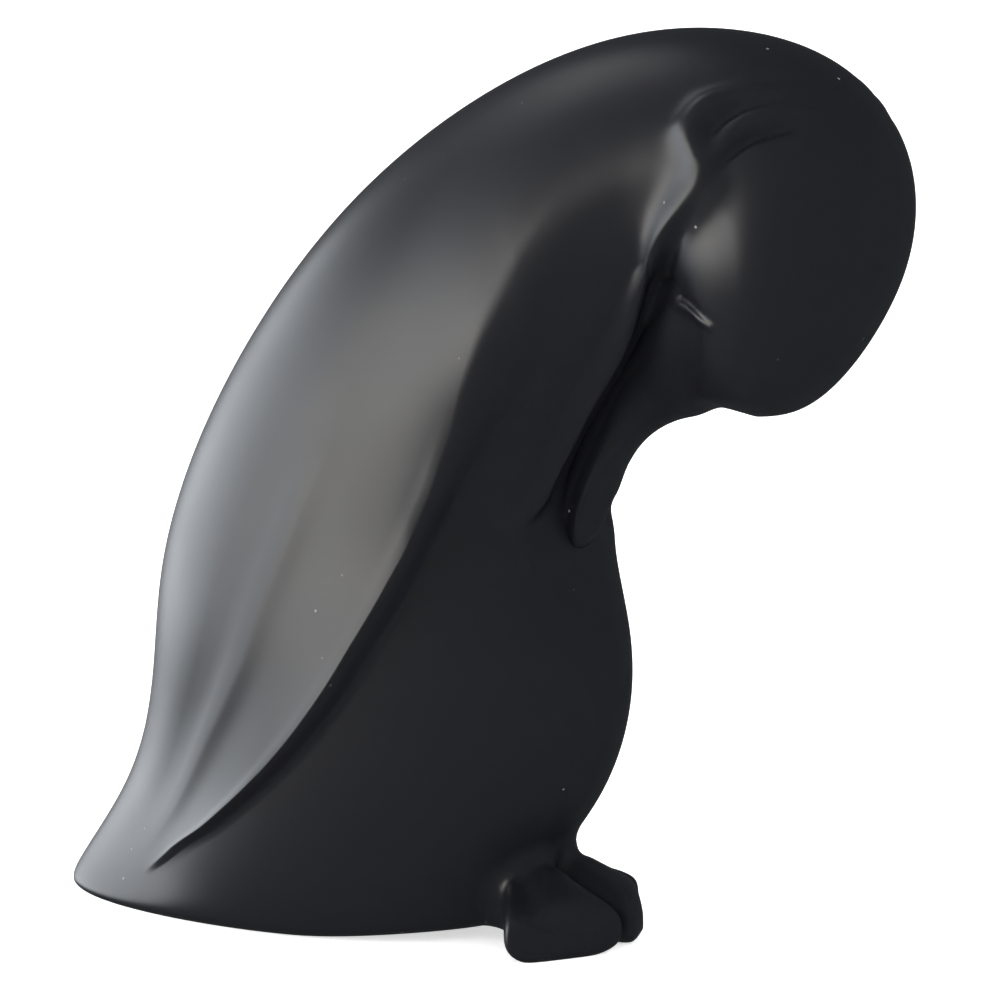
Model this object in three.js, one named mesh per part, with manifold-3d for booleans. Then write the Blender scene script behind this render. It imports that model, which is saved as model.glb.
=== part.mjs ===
// A hunched penguin cast in one piece in black glazed ceramic, head bowed and beak laid on its chest.
// It faces +X and is the same on both sides of the plane Y = 0. Its height is along Z and it stands on Z = 0.
import * as THREE from "three";
import Module from "manifold-3d";

// Driving dimensions, in millimetres.
const HEIGHT = 235; // ground to the top of the bowed neck
const WING_STEP = 7.2; // how far the wing's front edge stands off the flank
const EDGE_WIDTH = 4.6; // how wide the fall at that edge is where it is crisp
const WING_LIP = 0.28; // share of that width by which the fall starts behind the edge
const RIM_HEIGHT = 3.4; // ridge each side of the channel that the beak lies in
const RIM_WIDTH = 3.4; // half width of that ridge
const CHANNEL_DEPTH = 3.2; // depth of the channel under the neck's own surface
const CHANNEL_SLOPE = 8; // width of the channel's side
const COLLAR_HEIGHT = 3; // soft step from the neck up to the head
const COLLAR_WIDTH = 6; // how wide that step is on the neck's side where it is widest
const VALLEY_DEPTH = 1.7; // groove ahead of the step, high on the neck
const VALLEY_WIDTH = 2.4; // half width of that groove
const CREASE_DEPTH = 2.6; // crease where the head meets the neck
const CREASE_WIDTH = 2.2; // half width of that crease
const LEDGE_DEPTH = 1.3; // soft waist between the wing and the rims
const LEDGE_WIDTH = 4.5; // half width of that waist
const BELLY_LIFT = 3.5; // how far the belly's underside clears the ground at the feet
const WEB_RELIEF = 1.4; // toe ridges and hollows on the webbed feet

// The rib templates below are drawn for a figure this tall and scaled to HEIGHT.
const DRAWN_HEIGHT = 233.5;
const SCALE = HEIGHT / DRAWN_HEIGHT;

// Each rib crosses the body from its back outline to its front outline. In the bowed head the ribs
// open like a fan from the throat. Columns: back x and z, front x and z, where along the rib the body
// is widest, its half width there, how much the back is pinched to a keel, how square the front is.
const BODY_RIBS = [
  [-128.5, 0, 2, 0, 0.53, 32, 0.05, 2],
  [-132, 1.5, 5, 1, 0.54, 35, 0.12, 2],
  [-126, 11, 9, 7, 0.57, 38, 0.36, 2],
  [-109.5, 33, 15.5, 21, 0.52, 42, 0.36, 2],
  [-101.5, 60, 28, 37, 0.48, 45, 0.22, 2],
  [-98.5, 90, 35, 56, 0.47, 47, 0.08, 2],
  [-87.5, 121, 35, 76, 0.48, 46.5, 0.02, 2],
  [-67.5, 155, 25, 98, 0.53, 45, 0, 2],
  [-39.5, 189, 25.5, 121, 0.58, 43, 0, 2.1],
  [-2.5, 216.5, 42, 142, 0.62, 40, 0, 2.3],
  [35.5, 232.5, 55, 158, 0.6, 35.5, 0, 2.6],
  [70, 235, 59, 167, 0.55, 33.2, 0, 2.8],
  [97.3, 227.3, 61, 170, 0.5, 33.2, 0, 2.8],
  [113.6, 206.5, 62, 171, 0.5, 34.8, 0, 2.8],
  [113.6, 181.3, 64, 168, 0.5, 34, 0, 2.6],
  [105.3, 162.5, 66, 159, 0.5, 30, 0, 2.4],
  [95.5, 147.6, 64, 149, 0.5, 24, 0, 2.2],
  [86, 139, 61, 141, 0.5, 13, 0, 2],
  [72, 138.2, 63, 139.6, 0.5, 1, 0, 2],
];

// Beak ribs run from the side sunk in the neck to the ridge of the beak, from the face to the tip.
// Columns: inner x and z, ridge x and z, where along the rib it is widest, its half width there, how
// square the side with the ridge is.
const BEAK_RIBS = [
  [70, 182, 88, 145, 0.4, 28.5, 2.1],
  [57, 170, 77, 138.9, 0.32, 22.8, 2.2],
  [50, 162, 66, 137.9, 0.34, 17, 2.4],
  [43, 154.5, 57, 137.3, 0.38, 12.5, 2.7],
  [38, 149, 50, 135, 0.44, 10, 3],
  [33, 142, 44, 131.5, 0.54, 8.7, 3.2],
  [27.5, 134, 39, 127, 0.64, 8.3, 3.4],
  [24, 126.5, 35, 121.5, 0.68, 8.2, 3.4],
  [21.5, 118, 31.5, 115.5, 0.7, 8.2, 3.4],
  [20, 111, 29.3, 109.5, 0.7, 7.8, 3.4],
  [20, 106, 27.5, 104.5, 0.68, 6.2, 3.2],
  [21, 102.5, 26, 102, 0.62, 3.4, 2.8],
  [23.5, 101, 24.5, 101, 0.5, 0.4, 2.4],
];
const BEAK_SQUARE_INSIDE = 3;

// Foot ribs cross the left foot from its inner toe to its outer toe, from the leg to the toes.
// Columns: inner x and y, outer x and y, top, sole. A sole below the ground is cut flat by it.
const FOOT_RIBS = [
  [-2, 0.5, -6, 10, 30, 6],
  [9, 0.5, 5, 10.5, 29, 2],
  [19, 0.8, 12, 15, 23, 0],
  [27, 1, 16.5, 22.5, 18.5, -1],
  [33.5, 1.3, 19.5, 28.5, 15.5, -1],
  [38, 1.5, 22, 31.5, 13.5, -1],
  [39.5, 3, 23.6, 31.2, 11, 0],
  [37, 11, 28.5, 23, 8, 2],
];
const FOOT_SQUARE = 2.8;

// Wing, by share of the way from the ground rib (0) to the last head rib (1): the angle round the rib
// from the back to the front edge and to the soft rear edge, the step as a share of WING_STEP, and how
// many EDGE_WIDTHs the fall takes.
const WING = [
  [0, 56, 50, 0, 0.7],
  [0.14, 58, 52, 0, 0.7],
  [0.17, 64, 55, 0.14, 0.7],
  [0.2, 76, 60, 0.39, 0.7],
  [0.24, 90, 68, 0.61, 0.7],
  [0.27, 98, 75, 0.78, 0.8],
  [0.3, 104, 80, 0.86, 0.9],
  [0.33, 108.5, 82, 0.92, 0.9],
  [0.36, 113, 83, 0.97, 1],
  [0.39, 117.3, 83, 1, 1.1],
  [0.42, 119.5, 82, 1, 1.4],
  [0.445, 118, 76, 0.97, 1.9],
  [0.47, 111, 64, 0.92, 2.7],
  [0.5, 97, 46, 0.81, 3.9],
  [0.53, 85, 32, 0.58, 5.2],
  [0.56, 78, 26, 0.31, 6.1],
  [0.59, 76, 24, 0.1, 6.1],
  [0.62, 76, 24, 0, 6.1],
  [1, 76, 30, 0, 6.1],
];

// Channel on the neck, by the same share: the angle of its rim, then the rim's height and the
// channel's depth as shares of RIM_HEIGHT and CHANNEL_DEPTH.
const CHANNEL = [
  [0, 145, 0, 0],
  [0.38, 145, 0, 0],
  [0.415, 150, 0.26, 0.3],
  [0.44, 157, 0.65, 0.94],
  [0.46, 157.5, 0.82, 1],
  [0.5, 152, 0.94, 1],
  [0.535, 146, 1, 0.8],
  [0.57, 135, 1, 0.44],
  [0.605, 122, 0.94, 0.2],
  [0.62, 112, 0.6, 0.06],
  [0.64, 104, 0, 0],
  [0.68, 110, 0, 0],
  [1, 120, 0, 0],
];

// Folds between neck and head, by angle round the rib. The share along the body at which the collar's
// crest, the valley and the crease lie, then the collar's height, its widths on the neck's side and on
// the head's side, the valley's depth and the crease's depth, as shares of the dimensions above.
const NECK_FOLDS = [
  [20, 0.662, 0.668, 0.684, 0, 0.67, 1, 0, 0],
  [34, 0.648, 0.656, 0.672, 0.23, 0.67, 1, 0.24, 0.2],
  [44, 0.634, 0.645, 0.667, 0.53, 0.67, 0.83, 0.65, 0.6],
  [54, 0.62, 0.636, 0.66, 0.8, 0.67, 0.75, 1, 1],
  [64, 0.618, 0.632, 0.654, 0.93, 0.75, 0.75, 0.88, 0.92],
  [72, 0.629, 0.638, 0.652, 1, 0.87, 0.83, 0.4, 0.62],
  [80, 0.643, 0.648, 0.656, 1, 0.97, 0.92, 0, 0.27],
  [88, 0.648, 0.652, 0.657, 1, 1, 0.92, 0, 0.12],
  [96, 0.642, 0.65, 0.656, 1, 0.97, 0.83, 0, 0.2],
  [104, 0.633, 0.646, 0.655, 1, 0.83, 0.73, 0, 0.35],
  [112, 0.625, 0.644, 0.654, 0.97, 0.73, 0.67, 0, 0.42],
  [125, 0.607, 0.64, 0.656, 0.87, 0.63, 0.57, 0, 0.42],
  [140, 0.58, 0.64, 0.652, 0, 0.67, 0.57, 0, 0.2],
  [180, 0.57, 0.64, 0.65, 0, 0.67, 0.57, 0, 0],
];

// Waist between the wing and the rims, drawn on the side of the figure as x and z.
const WAIST_LEDGE = [
  [0, 113],
  [7, 112.5],
  [14, 111],
  [22, 108.5],
];

// How finely each form is divided.
const BODY_SPACING = [
  [0, 0.1, 7],
  [0.1, 0.4, 24],
  [0.4, 0.6, 20],
  [0.6, 0.68, 24],
  [0.68, 0.9, 12],
  [0.9, 1, 6],
];
const BEAK_STEPS = 26;
const FOOT_STEPS = 15;
const ROUND_STEPS = 20;

const { clamp, lerp, smoothstep, degToRad } = THREE.MathUtils;

// A uniform cubic B-spline through rows of numbers, its end rows tripled so that it reaches them.
function along(rows, share) {
  const held = [rows[0], rows[0], ...rows, rows.at(-1), rows.at(-1)];
  const spans = held.length - 3;
  const place = clamp(share, 0, 1) * spans;
  const first = Math.min(Math.floor(place), spans - 1);
  const f = place - first;
  const weights = [(1 - f) ** 3, 3 * f ** 3 - 6 * f ** 2 + 4, -3 * f ** 3 + 3 * f ** 2 + 3 * f + 1, f ** 3];
  return rows[0].map((_, column) =>
    weights.reduce((sum, weight, k) => sum + (weight * held[first + k][column]) / 6, 0),
  );
}

// A smooth curve through rows that start with their own share: cubic Hermite, level at each peak.
function through(rows, share) {
  const last = rows.length - 1;
  const at = clamp(share, rows[0][0], rows[last][0]);
  const i = clamp(rows.findIndex((row) => row[0] > at) - 1, 0, last - 1);
  const k = at >= rows[last][0] ? last - 1 : i;
  const slope = (j, column) => {
    if (j === 0 || j === last) return 0;
    const before = (rows[j][column] - rows[j - 1][column]) / (rows[j][0] - rows[j - 1][0]);
    const after = (rows[j + 1][column] - rows[j][column]) / (rows[j + 1][0] - rows[j][0]);
    return before * after <= 0 ? 0 : (2 * before * after) / (before + after);
  };
  const span = rows[k + 1][0] - rows[k][0];
  const f = (at - rows[k][0]) / span;
  return rows[k].map((value, column) => {
    const next = rows[k + 1][column];
    const rise = (f ** 3 - 2 * f ** 2 + f) * slope(k, column) * span;
    const fall = (f ** 3 - f ** 2) * slope(k + 1, column) * span;
    return value + (next - value) * (3 * f ** 2 - 2 * f ** 3) + rise + fall;
  });
}

// Distance in the side view from a point to a drawn line, and the share of the line it is nearest to.
function nearLine(drawn, point) {
  const line = new THREE.SplineCurve(drawn.map(([x, z]) => new THREE.Vector2(x, z).multiplyScalar(SCALE)));
  const seen = new THREE.Vector2(point.x, point.z);
  const distances = line.getPoints(40).map((p) => p.distanceTo(seen));
  const distance = Math.min(...distances);
  return { distance, share: distances.indexOf(distance) / 40 };
}

const bump = (distance, halfWidth) => Math.exp(-((distance / halfWidth) ** 2));
const roundPower = (value, square) => Math.sign(value) * Math.abs(value) ** (2 / square);

// The body's smooth skin: angle 0 is the back, 180 the front, and angles below 180 are the right side.
function bodySkin(share, angle) {
  const [backX, backZ, frontX, frontZ, widest, half, pinch, square] = along(BODY_RIBS, share);
  const cos = Math.cos(degToRad(angle));
  const sin = Math.sin(degToRad(angle));
  const behind = cos > 0;
  const across = behind ? widest * (1 - cos) : widest - (1 - widest) * roundPower(cos, square);
  const side = behind ? sin * (1 - pinch * cos ** 1.5) : roundPower(sin, square);
  const x = lerp(backX, frontX, across);
  const z = lerp(backZ, frontZ, across);
  const lift = (BELLY_LIFT / SCALE) * smoothstep(x, -45, 12) * clamp(1 - z / 40, 0, 1) ** 2;
  return new THREE.Vector3(x, -half * side, z + lift).multiplyScalar(SCALE);
}

// Distance over the skin from a line at a given angle, less than zero behind it.
function fromAngle(point, share, angle, lineAngle) {
  return Math.sign(angle - lineAngle) * point.distanceTo(bodySkin(share, lineAngle));
}

// Height of the carving over the smooth skin.
function carving(share, angle) {
  const point = bodySkin(share, angle);
  const [, front, rear, step, widths] = through(WING, share);
  const ahead = fromAngle(point, share, angle, front);
  const wingWidth = bodySkin(share, front).distanceTo(bodySkin(share, rear));
  const stand = WING_STEP * step;
  const fall = EDGE_WIDTH * widths;
  const rise = clamp(1 + ahead / Math.max(wingWidth, 8), 0, 1.2) ** 1.8;
  let height = stand * rise * (1 - smoothstep(ahead, -WING_LIP * fall, fall));

  const [, rim, ridge, hollow] = through(CHANNEL, share);
  const inside = fromAngle(point, share, angle, rim);
  height -= CHANNEL_DEPTH * hollow * smoothstep(inside, 0, CHANNEL_SLOPE);

  const sideways = smoothstep(Math.abs(point.y), 6, 22);
  const ledge = nearLine(WAIST_LEDGE, point);
  height -= LEDGE_DEPTH * bump(ledge.distance, LEDGE_WIDTH) * smoothstep(ledge.share, 0.15, 0.6) * sideways;

  const [, collar, valley, crease, collarHold, behind, before, valleyHold, creaseHold] = through(
    NECK_FOLDS,
    angle,
  );
  const toCollar = point.distanceTo(bodySkin(collar, angle));
  const toValley = point.distanceTo(bodySkin(valley, angle));
  const toCrease = point.distanceTo(bodySkin(crease, angle));
  const collarWidth = COLLAR_WIDTH * (share < collar ? behind : before);
  const onRim = RIM_HEIGHT * ridge * bump(inside, RIM_WIDTH);
  const onCollar = COLLAR_HEIGHT * collarHold * bump(toCollar, collarWidth);
  height += Math.max(onRim, onCollar);
  height -= VALLEY_DEPTH * valleyHold * bump(toValley, VALLEY_WIDTH);
  height -= CREASE_DEPTH * creaseHold * bump(toCrease, CREASE_WIDTH);
  return height;
}

function bodyPoint(share, angle) {
  const point = bodySkin(share, angle);
  const up = bodySkin(Math.min(share + 0.001, 1), angle).sub(bodySkin(Math.max(share - 0.001, 0), angle));
  const round = bodySkin(share, angle + 0.2).sub(bodySkin(share, angle - 0.2));
  const outward = round.cross(up).normalize();
  return point.addScaledVector(outward, carving(share, angle));
}

const spread = (from, to, count) => Array.from({ length: count }, (_, k) => lerp(from, to, k / count));

// One rib of the body, with points on the wing's two edges, at the foot of its step and on the rim.
function bodyRing(share) {
  const [, front, rear, , widths] = through(WING, share);
  const [, rim] = through(CHANNEL, share);
  const perDegree = bodySkin(share, front).distanceTo(bodySkin(share, front + 1));
  const fallAngle = (EDGE_WIDTH * widths) / perDegree;
  const foot = Math.min(front + fallAngle, (front + Math.max(rim, front + 8)) / 2);
  const crest = Math.max(rim, foot + 4);
  const half = [
    ...spread(0, rear, 5),
    ...spread(rear, front - WING_LIP * fallAngle, 3),
    ...spread(front - WING_LIP * fallAngle, foot, 2),
    ...spread(foot, crest, 6),
    ...spread(crest, 180, 5),
    180,
  ];
  const right = half.map((angle) => bodyPoint(share, angle));
  const left = right.slice(1, -1).reverse().map((p) => new THREE.Vector3(p.x, -p.y, p.z));
  return [...right, ...left];
}

const turns = Array.from({ length: ROUND_STEPS }, (_, k) => (2 * Math.PI * k) / ROUND_STEPS);

function beakRing(share) {
  const [innerX, innerZ, ridgeX, ridgeZ, widest, half, outside] = along(BEAK_RIBS, share);
  return turns.map((turn) => {
    const cos = Math.cos(turn);
    const square = cos > 0 ? BEAK_SQUARE_INSIDE : outside;
    const reach = roundPower(cos, square);
    const across = cos > 0 ? widest * (1 - reach) : widest - (1 - widest) * reach;
    const side = half * roundPower(Math.sin(turn), square);
    const x = lerp(innerX, ridgeX, across);
    const z = lerp(innerZ, ridgeZ, across);
    return new THREE.Vector3(x, side, z).multiplyScalar(SCALE);
  });
}

function footRing(share, hand) {
  const [innerX, innerY, outerX, outerY, top, sole] = along(FOOT_RIBS, share);
  const shown = smoothstep(share, 0.15, 0.4) * (1 - smoothstep(share, 0.8, 1));
  const square = lerp(2, FOOT_SQUARE, smoothstep(share, 0.25, 0.6));
  return turns.map((turn) => {
    const across = 0.5 + 0.5 * roundPower(Math.cos(turn), square);
    const toes = bump(across - 0.96, 0.09) - 1.3 * bump(across - 0.76, 0.12) + 0.9 * bump(across - 0.38, 0.25);
    const crown = top + WEB_RELIEF * toes * shown;
    const z = (crown + sole) / 2 + ((crown - sole) / 2) * roundPower(Math.sin(turn), square);
    const y = hand * lerp(innerY, outerY, across);
    return new THREE.Vector3(lerp(innerX, outerX, across), y, Math.max(z, 0)).multiplyScalar(SCALE);
  });
}

const wasm = await Module();
wasm.setup();

// A closed solid from rings of points: a skin between the rings, and strips across both end rings.
function solidOf(rings) {
  const count = rings[0].length;
  const at = (ring, k) => ring * count + ((k + count) % count);
  const triangles = [];
  const quad = (a, b, c, d) => triangles.push([a, b, c], [a, c, d]);
  for (let ring = 1; ring < rings.length; ring++) {
    for (let k = 0; k < count; k++) quad(at(ring - 1, k), at(ring - 1, k + 1), at(ring, k + 1), at(ring, k));
  }
  const end = rings.length - 1;
  for (let k = 0; k < count / 2; k++) {
    quad(at(0, k + 1), at(0, k), at(0, -k), at(0, -k - 1));
    quad(at(end, k), at(end, k + 1), at(end, -k - 1), at(end, -k));
  }
  const points = rings.flat();
  const volume = triangles.reduce(
    (sum, [a, b, c]) => sum + points[a].dot(points[b].clone().cross(points[c])),
    0,
  );
  const outward = triangles
    .filter(([a, b, c]) => a !== b && b !== c && c !== a)
    .flatMap(([a, b, c]) => (volume > 0 ? [a, b, c] : [a, c, b]));
  const mesh = new wasm.Mesh({
    numProp: 3,
    vertProperties: new Float32Array(points.flatMap((p) => p.toArray())),
    triVerts: new Uint32Array(outward),
  });
  return new wasm.Manifold(mesh);
}

const shares = (steps) => Array.from({ length: steps + 1 }, (_, k) => k / steps);
const bodyShares = [...BODY_SPACING.flatMap(([from, to, count]) => spread(from, to, count)), 1];

const cast = solidOf(bodyShares.map(bodyRing))
  .add(solidOf(shares(BEAK_STEPS).map(beakRing)))
  .add(solidOf(shares(FOOT_STEPS).map((share) => footRing(share, 1))))
  .add(solidOf(shares(FOOT_STEPS).map((share) => footRing(share, -1))));

const whole = cast.getMesh();
const geometry = new THREE.BufferGeometry();
geometry.setAttribute("position", new THREE.BufferAttribute(whole.vertProperties, 3));
geometry.setIndex(new THREE.BufferAttribute(whole.triVerts, 1));
geometry.computeVertexNormals();
geometry.computeBoundingBox();

// The origin is under the middle of the figure, on the ground.
const { min, max } = geometry.boundingBox;
geometry.translate(-(min.x + max.x) / 2, -(min.y + max.y) / 2, -min.z);

const glaze = new THREE.MeshStandardMaterial({ color: 0x1b1b1e, roughness: 0.42, metalness: 0 });
const penguin = new THREE.Mesh(geometry, glaze);
penguin.name = "penguin";

const figurine = new THREE.Group();
figurine.add(penguin);

export default figurine;
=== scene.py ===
"""A hunched penguin figurine in black glazed ceramic, standing on a plain pale floor."""

import math

import bpy
import numpy as np
from mathutils import Matrix, Vector


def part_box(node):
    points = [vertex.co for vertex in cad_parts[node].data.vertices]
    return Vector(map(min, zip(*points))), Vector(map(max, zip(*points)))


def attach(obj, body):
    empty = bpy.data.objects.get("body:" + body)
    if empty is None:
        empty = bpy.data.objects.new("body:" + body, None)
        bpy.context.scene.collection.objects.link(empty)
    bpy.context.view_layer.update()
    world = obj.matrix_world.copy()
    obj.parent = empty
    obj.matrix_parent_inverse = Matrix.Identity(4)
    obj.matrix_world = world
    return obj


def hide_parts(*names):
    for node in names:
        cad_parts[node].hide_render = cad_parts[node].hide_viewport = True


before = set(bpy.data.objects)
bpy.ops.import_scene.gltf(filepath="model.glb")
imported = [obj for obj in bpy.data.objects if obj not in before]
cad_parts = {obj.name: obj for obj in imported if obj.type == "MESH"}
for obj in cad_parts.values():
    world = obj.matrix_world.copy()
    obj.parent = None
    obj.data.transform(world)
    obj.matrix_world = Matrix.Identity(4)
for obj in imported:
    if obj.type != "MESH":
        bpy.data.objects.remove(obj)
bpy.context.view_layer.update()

# The body: tail, folded wings, neck and bowed head are one hollow casting in fired clay.
# The mould gives it the wings' raised edges, the channel on the neck and the folds behind the face.

# Each rib crosses the body from its back outline to its front outline, in mm on a figure whose tail is
# behind and whose face is ahead. In the head the ribs open like a fan from the throat. Columns: back x
# and z, front x and z, where along the rib it is widest, half width, pinch of the back, squareness.
BODY_RIBS = np.array([
    [-128.5, 0, 2, 0, 0.53, 32, 0.05, 2],
    [-132, 1.5, 5, 1, 0.54, 35, 0.12, 2],
    [-126, 11, 9, 7, 0.57, 38, 0.36, 2],
    [-109.5, 33, 15.5, 21, 0.52, 42, 0.36, 2],
    [-101.5, 60, 28, 37, 0.48, 45, 0.22, 2],
    [-98.5, 90, 35, 56, 0.47, 47, 0.08, 2],
    [-87.5, 121, 35, 76, 0.48, 46.5, 0.02, 2],
    [-67.5, 155, 25, 98, 0.53, 45, 0, 2],
    [-39.5, 189, 25.5, 121, 0.58, 43, 0, 2.1],
    [-2.5, 216.5, 42, 142, 0.62, 40, 0, 2.3],
    [35.5, 232.5, 55, 158, 0.6, 35.5, 0, 2.6],
    [70, 235, 59, 167, 0.55, 33.2, 0, 2.8],
    [97.3, 227.3, 61, 170, 0.5, 33.2, 0, 2.8],
    [113.6, 206.5, 62, 171, 0.5, 34.8, 0, 2.8],
    [113.6, 181.3, 64, 168, 0.5, 34, 0, 2.6],
    [105.3, 162.5, 66, 159, 0.5, 30, 0, 2.4],
    [95.5, 147.6, 64, 149, 0.5, 24, 0, 2.2],
    [86, 139, 61, 141, 0.5, 13, 0, 2],
    [72, 138.2, 63, 139.6, 0.5, 1, 0, 2],
])
# The belly is lifted off the ground ahead of the tail: how far, between which x, and up to which height.
BELLY_LIFT = 3.5
BELLY_FROM, BELLY_TO, BELLY_TOP = -45, 12, 40

# Wing, by share of the way from the ground to the face: angle of its front edge and of its rear ridge
# round the rib from the back, height of its edge in mm, width of the fall ahead of it in mm.
WING = np.array([
    [0, 56, 50, 0, 3],
    [0.14, 58, 52, 0, 3],
    [0.17, 64, 55, 1, 3],
    [0.2, 76, 60, 2.8, 3],
    [0.24, 90, 68, 4.4, 3.2],
    [0.27, 98, 75, 5.6, 3.6],
    [0.3, 104, 80, 6.2, 4],
    [0.33, 108.5, 82, 6.6, 4.2],
    [0.36, 113, 83, 7, 4.6],
    [0.39, 117.3, 83, 7.2, 5.2],
    [0.42, 119.5, 82, 7.2, 6.4],
    [0.445, 118, 76, 7, 8.5],
    [0.47, 111, 64, 6.6, 12.5],
    [0.5, 97, 46, 5.8, 18],
    [0.53, 85, 32, 4.2, 24],
    [0.56, 78, 26, 2.2, 28],
    [0.59, 76, 24, 0.7, 28],
    [0.62, 76, 24, 0, 28],
    [1, 76, 30, 0, 28],
])
# The wing rises from its rear ridge by this power of the way across, never over a strip narrower than
# this, and by this much of the way at most.
WING_RISE, WING_NARROWEST, RISE_MOST = 1.8, 8, 1.2
# The part of the fall that rounds over behind the front edge, and a thin bead on that edge where the fall
# is steep: height, half width, the falls at which it is gone and full, and the stand at which it is full.
WING_LIP = 0.28
WING_BEAD, BEAD_WIDTH, BEAD_GONE, BEAD_STEEP, BEAD_STAND = 0.5, 1.1, 10, 5, 4
# A small ridge along the rear line and a hollow behind it: heights, half widths, distance between them,
# and the shares over which they run out.
WING_RIDGE, RIDGE_WIDTH = 0.8, 4.5
WING_DIP, DIP_WIDTH, DIP_BEHIND = 0.9, 7, 9
RIDGE_END, RIDGE_FULL = 0.42, 0.36

# Channel under the beak, by the same share: angle of its rim, height of the rim, depth of the channel.
CHANNEL = np.array([
    [0, 145, 0, 0],
    [0.38, 145, 0, 0],
    [0.415, 150, 0.9, 1],
    [0.44, 157, 2.2, 3],
    [0.46, 157.5, 2.8, 3.2],
    [0.5, 152, 3.2, 3.2],
    [0.535, 146, 3.4, 2.6],
    [0.57, 135, 3.4, 1.4],
    [0.605, 122, 3.2, 0.6],
    [0.62, 112, 2, 0.2],
    [0.64, 104, 0, 0],
    [0.68, 110, 0, 0],
    [1, 120, 0, 0],
])
# The rim's half width, and how far inside it the channel reaches its depth.
RIM_WIDTH = 3.4
CHANNEL_SLOPE = 8

# Folds of skin between neck and head, by angle round the rib. First the share at which each line lies:
# collar, valley, middle ridge, crease. Then the collar's height, width behind and width ahead, the
# valley's depth, the ridge's height and the crease's depth, in mm.
NECK_LINES = np.array([
    [20, 0.662, 0.668, 0.676, 0.684],
    [34, 0.648, 0.656, 0.663, 0.672],
    [44, 0.634, 0.645, 0.655, 0.667],
    [54, 0.62, 0.636, 0.646, 0.66],
    [64, 0.618, 0.632, 0.641, 0.654],
    [72, 0.629, 0.638, 0.643, 0.652],
    [80, 0.643, 0.648, 0.65, 0.656],
    [88, 0.648, 0.652, 0.654, 0.657],
    [96, 0.642, 0.65, 0.652, 0.656],
    [104, 0.633, 0.646, 0.65, 0.655],
    [112, 0.625, 0.644, 0.648, 0.654],
    [125, 0.607, 0.64, 0.646, 0.656],
    [140, 0.58, 0.64, 0.645, 0.652],
    [180, 0.57, 0.64, 0.645, 0.65],
])
NECK_HEIGHTS = np.array([
    [20, 0, 4, 6, 0, 0, 0],
    [34, 0.7, 4, 6, 0.4, 0.3, 0.5],
    [44, 1.6, 4, 5, 1.1, 0.9, 1.6],
    [54, 2.4, 4, 4.5, 1.7, 1.2, 2.6],
    [64, 2.8, 4.5, 4.5, 1.5, 1, 2.4],
    [72, 3, 5.2, 5, 0.7, 0.5, 1.6],
    [80, 3, 5.8, 5.5, 0, 0, 0.7],
    [88, 3, 6, 5.5, 0, 0, 0.3],
    [96, 3, 5.8, 5, 0, 0, 0.5],
    [104, 3, 5, 4.4, 0, 0, 0.9],
    [112, 2.9, 4.4, 4, 0, 0, 1.1],
    [125, 2.6, 3.8, 3.4, 0, 0, 1.1],
    [140, 0, 4, 3.4, 0, 0, 0.5],
    [180, 0, 4, 3.4, 0, 0, 0],
])
VALLEY_WIDTH, MIDDLE_WIDTH, CREASE_WIDTH = 2.4, 2.6, 1.9

# A shallow hollow beside the beak's tip, where the breast begins, as a line of side-view points, with
# its depth and half width. Then how far from the middle it begins and is full, and the shares of its
# line at which it begins and is full.
WAIST_LEDGE = np.array([[0, 113], [7, 112.5], [14, 111], [22, 108.5]])
LEDGE_DEPTH, LEDGE_WIDTH = 1.3, 4.5
LEDGE_FROM, LEDGE_TO = 6, 22
LEDGE_START, LEDGE_FULL = 0.15, 0.6


def spline(points, f):
    """Uniform cubic B-spline between the middle two of four neighbouring points."""
    p0, p1, p2, p3 = points
    ahead = 3 * f**3 - 6 * f**2 + 4
    behind = -3 * f**3 + 3 * f**2 + 3 * f + 1
    return ((1 - f) ** 3 * p0 + ahead * p1 + behind * p2 + f**3 * p3) / 6


def along(rows, share):
    """Uniform cubic B-spline through rows, its end rows tripled, at each share from 0 to 1."""
    held = np.concatenate([rows[:1], rows[:1], rows, rows[-1:], rows[-1:]])
    place = np.clip(share, 0, 1) * (len(held) - 3)
    first = np.minimum(place.astype(int), len(held) - 4)
    return spline([held[first + k] for k in range(4)], (place - first)[..., None])


def through(rows, at):
    """Cubic Hermite curve through rows that start with their own place, level at each peak."""
    at = np.clip(at, rows[0, 0], rows[-1, 0])
    span = np.diff(rows[:, 0])[:, None]
    rise = np.diff(rows, axis=0) / span
    product = rise[1:] * rise[:-1]
    total = np.where(product > 0, rise[1:] + rise[:-1], 1)
    slope = np.zeros_like(rows)
    slope[1:-1] = np.where(product > 0, 2 * product / total, 0)
    k = np.clip(np.searchsorted(rows[:, 0], at, side="right") - 1, 0, len(rows) - 2)
    width = span[k]
    f = (at - rows[k, 0])[..., None] / width
    value = rows[k] + (rows[k + 1] - rows[k]) * (3 * f**2 - 2 * f**3)
    value = value + (f**3 - 2 * f**2 + f) * slope[k] * width
    return value + (f**3 - f**2) * slope[k + 1] * width


def ease(x, start, end):
    """0 before start, 1 after end, and 3f² - 2f³ between them."""
    f = np.clip((x - start) / (end - start), 0, 1)
    return f * f * (3 - 2 * f)


def bump(distance, half_width):
    """A bell, exp(-(distance / half width)²)."""
    return np.exp(-((distance / half_width) ** 2))


def power(value, square):
    """Sign of value times its size to the power 2 / square: the side of a superellipse."""
    return np.sign(value) * np.abs(value) ** (2 / square)


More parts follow.
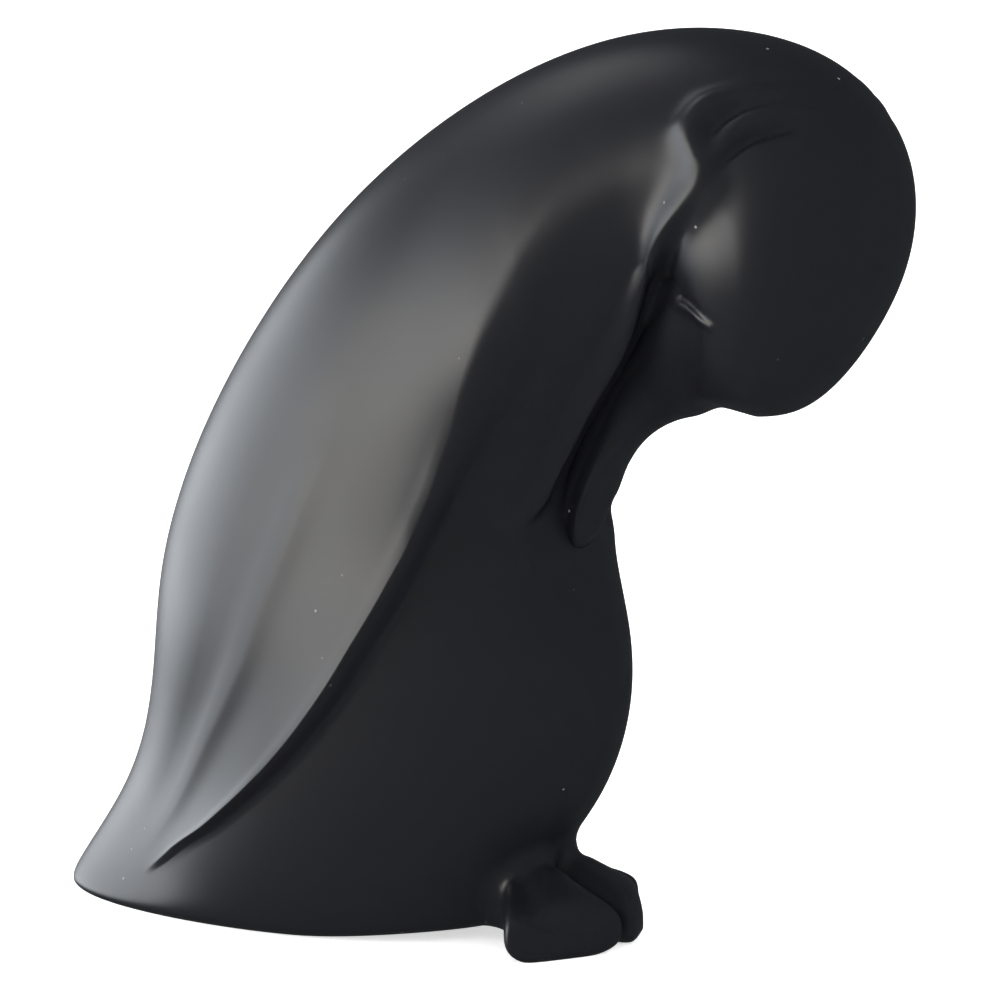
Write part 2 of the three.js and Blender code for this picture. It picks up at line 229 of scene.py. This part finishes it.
def skin(share, angle):
    """A point of the smooth body. Along the rib, widest (1 - cos) behind the widest place and a
    superellipse ahead of it; across it, half width times sin. Angle 0 is the back, 180 the front."""
    back_x, back_z, front_x, front_z, widest, half, pinch, square = np.moveaxis(
        along(BODY_RIBS, share), -1, 0
    )
    cos, sin = np.cos(np.radians(angle)), np.sin(np.radians(angle))
    behind = cos > 0
    across = np.where(behind, widest * (1 - cos), widest - (1 - widest) * power(cos, square))
    pinched = sin * (1 - pinch * np.clip(cos, 0, 1) ** 1.5)
    side = np.where(behind, pinched, power(sin, square))
    x = back_x + (front_x - back_x) * across
    z = back_z + (front_z - back_z) * across
    z = z + BELLY_LIFT * ease(x, BELLY_FROM, BELLY_TO) * np.clip(1 - z / BELLY_TOP, 0, 1) ** 2
    return np.stack([x, -half * side, z], -1)


def apart(a, b):
    """Straight distance between two sets of points."""
    return np.linalg.norm(a - b, axis=-1)


def from_line(x, z, line, samples=60):
    """Side-view distance to a drawn line and the share of the line at the nearest place."""
    drawn = along(line.astype(float), np.linspace(0, 1, samples))
    gaps = np.hypot(x[..., None] - drawn[:, 0], z[..., None] - drawn[:, 1])
    return gaps.min(-1), gaps.argmin(-1) / (samples - 1)


def carving(share, angle):
    """Height of the carving over the smooth body, in mm, on the right side (angles 0 to 180)."""
    point = skin(share, angle)
    front, rear, stand, fall = np.moveaxis(through(WING, share)[..., 1:], -1, 0)
    at_front, at_rear = skin(share, front), skin(share, rear)
    ahead = np.sign(angle - front) * apart(point, at_front)
    past_rear = np.sign(angle - rear) * apart(point, at_rear)
    lip = WING_LIP * fall
    breadth = np.maximum(apart(at_front, at_rear), WING_NARROWEST)
    rise = np.clip(1 + ahead / breadth, 0, RISE_MOST) ** WING_RISE
    height = stand * rise * (1 - ease(ahead, -lip, fall))
    bead = WING_BEAD * bump(ahead + lip, BEAD_WIDTH)
    height += bead * ease(fall, BEAD_GONE, BEAD_STEEP) * np.clip(stand / BEAD_STAND, 0, 1)
    rear_line = WING_RIDGE * bump(past_rear, RIDGE_WIDTH)
    rear_line -= WING_DIP * bump(past_rear + DIP_BEHIND, DIP_WIDTH)
    height += rear_line * np.clip(stand / WING[:, 3].max(), 0, 1) * ease(share, RIDGE_END, RIDGE_FULL)

    rim, rim_height, depth = np.moveaxis(through(CHANNEL, share)[..., 1:], -1, 0)
    inside = np.sign(angle - rim) * apart(point, skin(share, rim))
    height -= depth * ease(inside, 0, CHANNEL_SLOPE)

    sideways = ease(np.abs(point[..., 1]), LEDGE_FROM, LEDGE_TO)
    gap, reach = from_line(point[..., 0], point[..., 2], WAIST_LEDGE)
    height -= LEDGE_DEPTH * bump(gap, LEDGE_WIDTH) * ease(reach, LEDGE_START, LEDGE_FULL) * sideways

    lines = np.moveaxis(through(NECK_LINES, angle)[..., 1:], -1, 0)
    collar, behind, before, valley, middle, crease = np.moveaxis(
        through(NECK_HEIGHTS, angle)[..., 1:], -1, 0
    )
    to_collar, to_valley, to_middle, to_crease = (apart(point, skin(at, angle)) for at in lines)
    rim_bump = rim_height * bump(inside, RIM_WIDTH)
    collar_bump = collar * bump(to_collar, np.where(share < lines[0], behind, before))
    height += np.maximum(rim_bump, collar_bump)
    height += middle * bump(to_middle, MIDDLE_WIDTH) - valley * bump(to_valley, VALLEY_WIDTH)
    return height - crease * bump(to_crease, CREASE_WIDTH)


# Rings of the body, by share, and columns of one side between the lines that they follow. They are dense
# where the folds are.
RING_SHARES = np.array([0, 0.02, 0.42, 0.6, 0.7, 0.82, 0.9, 1])
RING_COUNTS = [6, 120, 60, 84, 64, 20, 16]
COLUMN_COUNTS = [16, 12, 4, 8, 24, 22]
# Least angles in degrees from the wing's front edge to the rim, and from the foot of its fall to the rim.
RIM_AHEAD, CREST_AHEAD = 8, 4


def blocks(edges, counts):
    """Evenly spaced values between neighbouring edges, counts of them in each block, and the last edge."""
    pairs = zip(edges[:-1], edges[1:], counts)
    return np.concatenate([*(np.linspace(a, b, n, endpoint=False) for a, b, n in pairs), edges[-1:]])


def body_rings():
    """The carved body as rings of points. Its columns follow the wing's two edges and the rim."""
    share = blocks(RING_SHARES, RING_COUNTS)
    front, rear, _, fall = np.moveaxis(through(WING, share)[:, 1:], -1, 0)
    rim = through(CHANNEL, share)[:, 1]
    per_degree = apart(skin(share, front), skin(share, front + 1))
    halfway = (front + np.maximum(rim, front + RIM_AHEAD)) / 2
    foot = np.minimum(front + fall / per_degree, halfway)
    crest = np.maximum(rim, foot + CREST_AHEAD)
    zero = np.zeros_like(share)
    edges = [zero, rear, front - WING_LIP * fall / per_degree, front, foot, crest, zero + 180]
    steps = [np.linspace(0, 1, n, endpoint=False) for n in COLUMN_COUNTS]
    spans = zip(edges[:-1], edges[1:], steps)
    columns = [a[:, None] + (b - a)[:, None] * f for a, b, f in spans]
    angle = np.concatenate([*columns, zero[:, None] + 180], axis=1)
    share = np.broadcast_to(share[:, None], angle.shape)
    step, turned = 1e-3, 0.2
    up = skin(np.minimum(share + step, 1), angle) - skin(np.maximum(share - step, 0), angle)
    turn = skin(share, angle + turned) - skin(share, angle - turned)
    outward = np.cross(turn, up)
    outward /= np.linalg.norm(outward, axis=-1, keepdims=True) + 1e-12
    right = skin(share, angle) + outward * carving(share, angle)[..., None]
    left = right[:, -2:0:-1] * [1, -1, 1]
    return np.concatenate([right, left], axis=1)


def shell(name, rings, part):
    """A closed mesh from rings of points: quads between the rings, and strips that pair column k with
    -k across both end rings. Its faces carry the number of their part."""
    rows, count = rings.shape[:2]
    k = np.arange(count)
    row = np.arange(rows - 1)[:, None] * count
    side = np.stack(
        [row + k, row + (k + 1) % count, row + count + (k + 1) % count, row + count + k], -1
    ).reshape(-1, 4)
    h = np.arange(1, count // 2 - 1)
    strip = np.stack([h + 1, h, (count - h) % count, (count - h - 1) % count], -1)
    last = (rows - 1) * count
    quads = np.concatenate([side, strip, strip[:, ::-1] + last])
    tips = np.array([[1, 0, count - 1], [count // 2, count // 2 - 1, count // 2 + 1]])
    threes = np.concatenate([tips, tips[:, ::-1] + last])
    points = rings.reshape(-1, 3)
    a, b, c, d = np.moveaxis(points[quads], 1, 0)
    volume = np.sum(a * (np.cross(b, c) + np.cross(c, d)))
    if volume < 0:
        quads, threes = quads[:, ::-1], threes[:, ::-1]
    mesh = bpy.data.meshes.new(name)
    mesh.from_pydata(points.tolist(), [], quads.tolist() + threes.tolist())
    mesh.attributes.new("part", "INT", "FACE").data.foreach_set("value", [part] * len(mesh.polygons))
    piece = bpy.data.objects.new(name, mesh)
    bpy.context.scene.collection.objects.link(piece)
    return piece


BODY, BEAK, FOOT = 0, 1, 2
body = shell("body", body_rings(), BODY)

# The beak lies on the breast, cast with the body. It leaves the face as a cone and runs out into a flat
# blade with a blunt round tip and crisp edges.

# Beak ribs run from the side sunk in the neck to the ridge. Columns: inner x and z, ridge x and z, place
# along the rib and half width of the edge that lies on the neck, the same of the ridge's corner.
BEAK_RIBS = np.array([
    [70, 182, 88, 145, 0.26, 28, 0.46, 28.5],
    [57, 170, 77, 138.9, 0.22, 22, 0.38, 22.5],
    [50, 162, 66, 137.9, 0.26, 16.5, 0.4, 16.8],
    [43, 154.5, 57, 137.3, 0.3, 12, 0.45, 12.3],
    [38, 149, 50, 135, 0.32, 9.4, 0.5, 9.8],
    [33, 142, 44, 131.5, 0.4, 7.8, 0.6, 8.6],
    [27.5, 134, 39, 127, 0.5, 7, 0.76, 8.2],
    [24, 126.5, 35, 121.5, 0.5, 6.8, 0.84, 8.2],
    [21.5, 118, 31.5, 115.5, 0.5, 6.8, 0.88, 8.2],
    [20, 111, 29.3, 109.5, 0.5, 6.6, 0.88, 8],
    [20, 106, 27.5, 104.5, 0.5, 5.4, 0.86, 6.6],
    [21, 102.5, 26, 102, 0.5, 3, 0.8, 3.8],
    [23.5, 101, 24.5, 101, 0.5, 0.4, 0.7, 0.4],
])


def around(corners, turn):
    """Closed uniform cubic B-spline round rows of corners, each (place along the rib, half width)."""
    count = corners.shape[-2]
    place = (turn % 1) * count
    first = place.astype(int)
    near = [np.take_along_axis(corners, ((first + k) % count)[..., None], -2) for k in range(4)]
    return spline(near, (place - first)[..., None])


def beak_rings(rows, columns):
    """The beak as rings: a B-spline round the corners of each rib's section, doubled at its edges."""
    share = np.linspace(0, 1, rows)
    inner_x, inner_z, ridge_x, ridge_z, at_edge, edge, at_corner, corner = along(BEAK_RIBS, share).T
    crown = at_corner + 0.6 * (1 - at_corner)  # between the corner and the ridge
    side = [
        (0 * edge, 0.7 * edge),
        (0.5 * at_edge, edge),
        (at_edge, edge),
        (at_edge, edge),
        (at_corner, corner),
        (crown, 0.82 * corner),
        (0 * edge + 1, 0.4 * corner),
    ]
    other = [(place, -half) for place, half in side[::-1]]
    corners = np.array(side + other).transpose(2, 0, 1)
    first_column = -2.5 / len(side + other)
    turn = first_column + np.arange(columns) / columns
    across, half = np.moveaxis(around(corners, np.broadcast_to(turn, (rows, columns))), -1, 0)
    x = inner_x[:, None] + (ridge_x - inner_x)[:, None] * across
    z = inner_z[:, None] + (ridge_z - inner_z)[:, None] * across
    return np.stack([x, -half, z], -1)


beak = shell("beak", beak_rings(130, 96), BEAK)

# Two short webbed feet, cast with the body. Each is a thick wedge that spreads from the ankle to a blunt
# outer toe, with a shallow hollow between the toes, and stands flat on its sole.

# Foot ribs cross the left foot from its inner toe to its outer toe. Columns: inner x and y, outer x and
# y, top, sole. A sole below the ground is cut flat by it.
FOOT_RIBS = np.array([
    [-2, 0.5, -6, 10, 30, 6],
    [9, 0.5, 5, 10.5, 29, 2],
    [19, 0.8, 12, 15, 23, 0],
    [27, 1, 16.5, 22.5, 18.5, -1],
    [33.5, 1.3, 19.5, 28.5, 15.5, -1],
    [38, 1.5, 22, 31.5, 13.5, -1],
    [39.5, 3, 23.6, 31.2, 11, 0],
    [37, 11, 28.5, 23, 8, 2],
])
FOOT_SQUARE = 2.8

# Toes and the hollow between them, across the foot: place, half width, and share of the relief's height.
WEB_RELIEF = 1.4
TOES = [(0.96, 0.09, 1), (0.76, 0.12, -1.3), (0.38, 0.25, 0.9)]


def foot_rings(rows, around, hand):
    """A foot as rings of superellipses from the ankle to the toes, mirrored where hand is -1."""
    share = np.linspace(0, 1, rows)[:, None]
    turn = np.linspace(0, 2 * np.pi, around, endpoint=False)
    share, turn = np.broadcast_arrays(share, turn)
    inner_x, inner_y, outer_x, outer_y, top, sole = np.moveaxis(along(FOOT_RIBS, share), -1, 0)
    square = 2 + (FOOT_SQUARE - 2) * ease(share, 0.25, 0.6)
    across = 0.5 + 0.5 * power(np.cos(turn), square)
    toes = sum(size * bump(across - place, width) for place, width, size in TOES)
    crown = top + WEB_RELIEF * toes * ease(share, 0.15, 0.4) * ease(share, 1, 0.8)
    z = (crown + sole) / 2 + (crown - sole) / 2 * power(np.sin(turn), square)
    x = inner_x + (outer_x - inner_x) * across
    y = hand * (inner_y + (outer_y - inner_y) * across)
    return np.stack([x, y, np.maximum(z, 0)], -1)


left_foot = shell("left_foot", foot_rings(70, 72, 1), FOOT)
right_foot = shell("right_foot", foot_rings(70, 72, -1), FOOT)

# The whole cast: body, beak and feet are one piece of clay. The joins at the ankles and round the face
# are soft, and the beak keeps its sharp corner on the breast.

# Rounds by which the soft band grows from each join, how fast it does, and rounds of smoothing in it.
GROW_ROUNDS, GROWTH, SPREAD = 14, 1.12, 0.8
SMOOTH_ROUNDS = 160
# The heights over which the ankles' band comes in above the ground, and the x over which the face's
# band comes in ahead of the neck.
ANKLE_FADE, FACE_FADE = (1, 6), (52, 64)
# The corner under the bowed head, where the beak leaves it, in the side view: x, z, radius, and its own
# rounds of smoothing.
CORNER_X, CORNER_Z, CORNER_RADIUS, CORNER_ROUNDS = 70, 138.5, 6, 500


def united(main, others):
    """One closed mesh from overlapping closed ones."""
    for other in others:
        join = main.modifiers.new(other.name, "BOOLEAN")
        join.operation, join.solver, join.object = "UNION", "MANIFOLD", other
    evaluated = main.evaluated_get(bpy.context.evaluated_depsgraph_get())
    mesh = bpy.data.meshes.new_from_object(evaluated)
    for piece in [main, *others]:
        bpy.data.objects.remove(piece)
    return mesh


def read(collection, name, width, kind=np.float64):
    """One property of every element as a numpy array."""
    values = np.zeros(len(collection) * width, kind)
    collection.foreach_get(name, values)
    return values.reshape(-1, width) if width > 1 else values


def averaged(values, edges):
    """Each vertex's mean of its neighbours' values, by column."""
    a, b = edges.T
    count = len(values)
    near = np.bincount(edges.ravel(), minlength=count).clip(1)
    columns = values.reshape(count, -1).T
    sums = [np.bincount(a, v[b], count) + np.bincount(b, v[a], count) for v in columns]
    return (np.stack(sums, -1) / near[:, None]).reshape(values.shape)


def relax(points, edges, weight, rounds):
    """Moves points toward the mean of their neighbours, each by its weight, some rounds over."""
    kept = edges[(weight[edges] > 1e-3).any(1)]
    index, local = np.unique(kept, return_inverse=True)
    local = local.reshape(kept.shape)
    own, share = points[index], 0.5 * weight[index][:, None]
    for _ in range(rounds):
        own += share * (averaged(own, local) - own)
    points[index] = own


cast = united(body, [beak, left_foot, right_foot])
points = read(cast.vertices, "co", 3)
edges = read(cast.edges, "vertices", 2, np.int32)
corner_vertex = read(cast.loops, "vertex_index", 1, np.int32)
face_part = read(cast.attributes["part"].data, "value", 1, np.int32)
corner_part = np.repeat(face_part, read(cast.polygons, "loop_total", 1, np.int32))
lowest, highest = np.full(len(points), FOOT), np.full(len(points), BODY)
np.minimum.at(lowest, corner_vertex, corner_part)
np.maximum.at(highest, corner_vertex, corner_part)
joint = (lowest != highest).astype(float)
at_ankle = (highest == FOOT) * joint * ease(points[:, 2], *ANKLE_FADE)
at_face = (highest == BEAK) * joint * ease(points[:, 0], *FACE_FADE)
soft = np.maximum(at_ankle, at_face)
for _ in range(GROW_ROUNDS):
    grown = SPREAD * averaged(soft, edges) + (1 - SPREAD) * soft
    soft = np.clip(GROWTH * np.maximum(soft, grown), 0, 1)
relax(points, edges, soft, SMOOTH_ROUNDS)
under_head = bump(np.hypot(points[:, 0] - CORNER_X, points[:, 2] - CORNER_Z), CORNER_RADIUS)
relax(points, edges, under_head, CORNER_ROUNDS)

# Small relief at the corner of the beak: a thin rib along the gape with a groove beside it, and a crease
# that runs on from it to the bottom of the bowed head. Each is a line of drawn points in mm on the right
# side. With it come its height or depth, its half width, and the way in which the clay is pushed.
GAPE = np.array([[67.4, -27, 168.4], [71, -28.4, 167.6], [74.2, -29, 166.6], [79.2, -29, 164.4]])
RIB_START, RIB_END, RIB_WIDTH = 2, 1.3, 1.5
GROOVE_OFFSET = np.array([1.2, 0, 2])
GROOVE_DEPTH, GROOVE_WIDTH = 1.2, 1.4
GAPE_WAY = (0.3, -0.95, 0)
FOREHEAD = np.array([[76.5, -25, 163], [76.3, -24, 161.3], [73.5, -19, 153.3], [69.8, -13, 145.8]])
FOREHEAD_DEPTH, FOREHEAD_WIDTH = 2.6, 1.4
FOREHEAD_END, FOREHEAD_FULL = 1.05, 0.4
FOREHEAD_WAY = (0.6, -0.65, -0.45)


def from_path(at, path):
    """Distance from each point to a broken line, and the share of the line at the nearest place."""
    best, place = np.full(len(at), 1e9), np.zeros(len(at))
    for k, (a, b) in enumerate(zip(path[:-1], path[1:])):
        f = np.clip((at - a) @ (b - a) / ((b - a) @ (b - a)), 0, 1)
        gap = np.linalg.norm(at - a - f[:, None] * (b - a), axis=1)
        place = np.where(gap < best, (k + f) / (len(path) - 1), place)
        best = np.minimum(gap, best)
    return best, place


# Either side is treated as the right one: across is -1 along y on the left and 1 on the right.
across = np.ones_like(points)
across[:, 1] = np.where(points[:, 1] > 0, -1, 1)
right_side = points * across
to_gape, reach = from_path(right_side, GAPE)
to_groove, _ = from_path(right_side, GAPE + GROOVE_OFFSET)
to_crease, depth_at = from_path(right_side, FOREHEAD)
rib = (RIB_START - (RIB_START - RIB_END) * reach) * bump(to_gape, RIB_WIDTH)
lift = rib - GROOVE_DEPTH * bump(to_groove, GROOVE_WIDTH)
sunk = FOREHEAD_DEPTH * bump(to_crease, FOREHEAD_WIDTH) * ease(depth_at, FOREHEAD_END, FOREHEAD_FULL)
points += lift[:, None] * across * GAPE_WAY
points -= sunk[:, None] * across * FOREHEAD_WAY
cast.vertices.foreach_set("co", points.ravel())
cast.update()

# The drawn figure is centred and scaled to the frame's height.
drawn_middle = (points[:, 0].min() + points[:, 0].max()) / 2
low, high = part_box("penguin")
scale = (high.z - low.z) / (points[:, 2].max() - points[:, 2].min())
cast.transform(Matrix.Scale(scale, 4) @ Matrix.Translation((-drawn_middle, 0, 0)))
penguin = bpy.data.objects.new("penguin_cast", cast)
bpy.context.scene.collection.objects.link(penguin)
cast.shade_smooth()
SHARP_DEGREES = 50
cast.set_sharp_from_angle(angle=math.radians(SHARP_DEGREES))


class Socket:
    """A node's output that can be used in sums: each operator adds the Math node for it."""

    tree = None

    def __init__(self, out):
        self.out = out

    @classmethod
    def node(cls, kind, settings=None, **inputs):
        """Adds a node, sets its settings first and then its inputs, by name with _ for a space."""
        made = cls.tree.nodes.new(kind)
        for name, value in (settings or {}).items():
            setattr(made, name, value)
        for name, value in inputs.items():
            plug = made.inputs[int(name[1:])] if name[1:].isdigit() else made.inputs[name.replace("_", " ")]
            if isinstance(value, Socket):
                cls.tree.links.new(value.out, plug)
            else:
                plug.default_value = value
        return made

    @classmethod
    def sum_of(cls, operation, *values):
        """Adds a Math node for an operation on its values."""
        inputs = {f"_{k}": value for k, value in enumerate(values)}
        return cls(cls.node("ShaderNodeMath", {"operation": operation}, **inputs).outputs[0])

    def __add__(self, other):
        return self.sum_of("ADD", self, other)

    def __sub__(self, other):
        return self.sum_of("SUBTRACT", self, other)

    def __mul__(self, other):
        return self.sum_of("MULTIPLY", self, other)

    def __rsub__(self, other):
        return self.sum_of("SUBTRACT", other, self)

    def ramp(self, start, end):
        """0 at start and 1 at end, eased."""
        settings = {"interpolation_type": "SMOOTHSTEP"}
        made = self.node("ShaderNodeMapRange", settings, Value=self, From_Min=start, From_Max=end)
        return Socket(made.outputs[0])


GLAZE = (0.0075, 0.0078, 0.0105, 1)
PINHOLE = (0.16, 0.16, 0.16, 1)
ROUGHNESS, ROUGHNESS_CLOUD, ROUGHNESS_PINHOLE = 0.34, 0.08, 0.2
# Bump of the clouding, the grain and the pinholes, and its strength and depth in metres.
CLOUD_BUMP, GRAIN_BUMP, PINHOLE_BUMP = 0.25, 0.02, 0.5
BUMP_STRENGTH, BUMP_DEPTH = 0.12, 0.0006


def glaze():
    """Black satin glaze: a rough mirror over near black, with pinholes, dust in them and faint clouding."""
    material = bpy.data.materials.new("black satin glaze")
    material.use_nodes = True
    Socket.tree = material.node_tree
    surface = material.node_tree.nodes["Principled BSDF"]
    place = Socket(Socket.node("ShaderNodeTexCoord").outputs["Object"])
    cloud = Socket.node("ShaderNodeTexNoise", Vector=place, Scale=38.0, Detail=3.0)
    grain = Socket.node("ShaderNodeTexNoise", Vector=place, Scale=900.0, Detail=2.0)
    cells = Socket.node("ShaderNodeTexVoronoi", Vector=place, Scale=150.0)
    chosen = Socket.node("ShaderNodeTexNoise", Vector=place, Scale=23.0, Detail=1.0)
    speck = 1 - Socket(cells.outputs["Distance"]).ramp(0.035, 0.075)
    speck = speck * Socket(chosen.outputs["Fac"]).ramp(0.56, 0.62)
    tint = Socket.node("ShaderNodeMix", {"data_type": "RGBA"}, Factor=speck)
    tint.inputs["A"].default_value = GLAZE
    tint.inputs["B"].default_value = PINHOLE
    Socket.tree.links.new(tint.outputs["Result"], surface.inputs["Base Color"])
    clouds, grains = Socket(cloud.outputs["Fac"]), Socket(grain.outputs["Fac"])
    rough = clouds * ROUGHNESS_CLOUD + ROUGHNESS + speck * ROUGHNESS_PINHOLE
    Socket.tree.links.new(rough.out, surface.inputs["Roughness"])
    height = clouds * CLOUD_BUMP + grains * GRAIN_BUMP - speck * PINHOLE_BUMP
    relief = Socket.node("ShaderNodeBump", Height=height, Strength=BUMP_STRENGTH, Distance=BUMP_DEPTH)
    Socket.tree.links.new(relief.outputs["Normal"], surface.inputs["Normal"])
    return material


cast.materials.clear()
cast.materials.append(glaze())
cast.attributes.remove(cast.attributes["part"])
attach(penguin, "root")
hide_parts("penguin")

# The stage: a plain pale floor that runs up into a backdrop, soft panels of light, and the camera at
# the angle the figurine was looked at from. The floor and backdrop aren't part of the object.


def plain(name, colour, roughness):
    """One colour, matt."""
    material = bpy.data.materials.new(name)
    material.use_nodes = True
    surface = material.node_tree.nodes["Principled BSDF"]
    surface.inputs["Base Color"].default_value = (*colour, 1)
    surface.inputs["Roughness"].default_value = roughness
    surface.inputs["Specular IOR Level"].default_value = 0
    return material


def sweep_mesh(radius, height, bend, middle=0.05, flats=10, steps=24, around=96):
    """A round floor whose rim bends up into a wall, as rings about the vertical axis."""
    angle = np.linspace(0, np.pi / 2, steps)
    flat = np.linspace(middle, radius - bend, flats)
    r = np.concatenate([flat, radius - bend + bend * np.sin(angle[1:]), [radius]])
    z = np.concatenate([flat * 0, bend - bend * np.cos(angle[1:]), [height]])
    turn = np.linspace(0, 2 * np.pi, around, endpoint=False)
    rings = np.stack(
        [r[:, None] * np.cos(turn), r[:, None] * np.sin(turn), z[:, None] + 0 * turn], -1
    )
    k = np.arange(around)
    row = np.arange(len(r) - 1)[:, None] * around
    quads = np.stack(
        [row + k, row + around + k, row + around + (k + 1) % around, row + (k + 1) % around], -1
    )
    mesh = bpy.data.meshes.new("floor")
    faces = quads.reshape(-1, 4).tolist() + [list(range(around))]
    mesh.from_pydata(rings.reshape(-1, 3).tolist(), [], faces)
    mesh.shade_smooth()
    return mesh


floor = bpy.data.objects.new("floor", sweep_mesh(4.0, 5.0, 1.2))
floor.data.materials.append(plain("pale floor", (0.86, 0.86, 0.86), 0.9))
floor.visible_glossy = False
floor_surface = floor.data.materials[0].node_tree.nodes["Principled BSDF"]
floor_surface.inputs["Emission Color"].default_value = (1, 1, 1, 1)
floor_surface.inputs["Emission Strength"].default_value = 0.6
bpy.context.scene.collection.objects.link(floor)

world = bpy.context.scene.world or bpy.data.worlds.new("room")
bpy.context.scene.world = world
world.use_nodes = True
room = world.node_tree.nodes["Background"]
room.inputs["Color"].default_value = (0.9, 0.95, 1, 1)
room.inputs["Strength"].default_value = 0.07

AIM_HEIGHT = 112.5
aim = scale * Vector((-drawn_middle, 0, AIM_HEIGHT))


def panel(name, heading, up, distance, width, height, power_w, colour):
    """A soft light panel that faces the figurine from a compass heading and a slope upwards."""
    light = bpy.data.lights.new(name, "AREA")
    light.shape, light.size, light.size_y, light.energy = "RECTANGLE", width, height, power_w
    light.color = colour
    lamp = bpy.data.objects.new(name, light)
    h, e = math.radians(heading), math.radians(up)
    way = Vector((math.cos(h) * math.cos(e), math.sin(h) * math.cos(e), math.sin(e)))
    lamp.location = aim + way * distance
    lamp.rotation_euler = way.to_track_quat("Z", "Y").to_euler()
    bpy.context.scene.collection.objects.link(lamp)
    return lamp


panel("cool left panel", 184, 3, 1.7, 2.0, 1.0, 24, (0.9, 0.95, 1))
panel("warm left panel", 233, 3, 1.7, 1.05, 0.9, 17, (1, 0.97, 0.92))
panel("high left panel", 172, 50, 2.0, 1.0, 0.8, 3, (1, 1, 1))
overhead = panel("overhead", 270, 80, 2.4, 3.0, 3.0, 34, (1, 1, 1))
overhead.visible_glossy = False

camera_data = bpy.data.cameras.new("camera")
camera = bpy.data.objects.new("camera", camera_data)
bpy.context.scene.collection.objects.link(camera)
CAMERA_AZIMUTH, CAMERA_ELEVATION, CAMERA_DISTANCE = 32.0, 8.5, 1500
DRAWN_PER_PIXEL, PHOTO_HEIGHT = 0.2533, 995
camera_data.lens = camera_data.sensor_width * CAMERA_DISTANCE / DRAWN_PER_PIXEL / PHOTO_HEIGHT
a, e = math.radians(CAMERA_AZIMUTH), math.radians(CAMERA_ELEVATION)
back = Vector((math.sin(a) * math.cos(e), -math.cos(a) * math.cos(e), math.sin(e)))
camera.location = aim + back * CAMERA_DISTANCE * scale
camera.rotation_euler = back.to_track_quat("Z", "Y").to_euler()
bpy.context.scene.camera = camera
bpy.context.scene.view_settings.view_transform = "Standard"
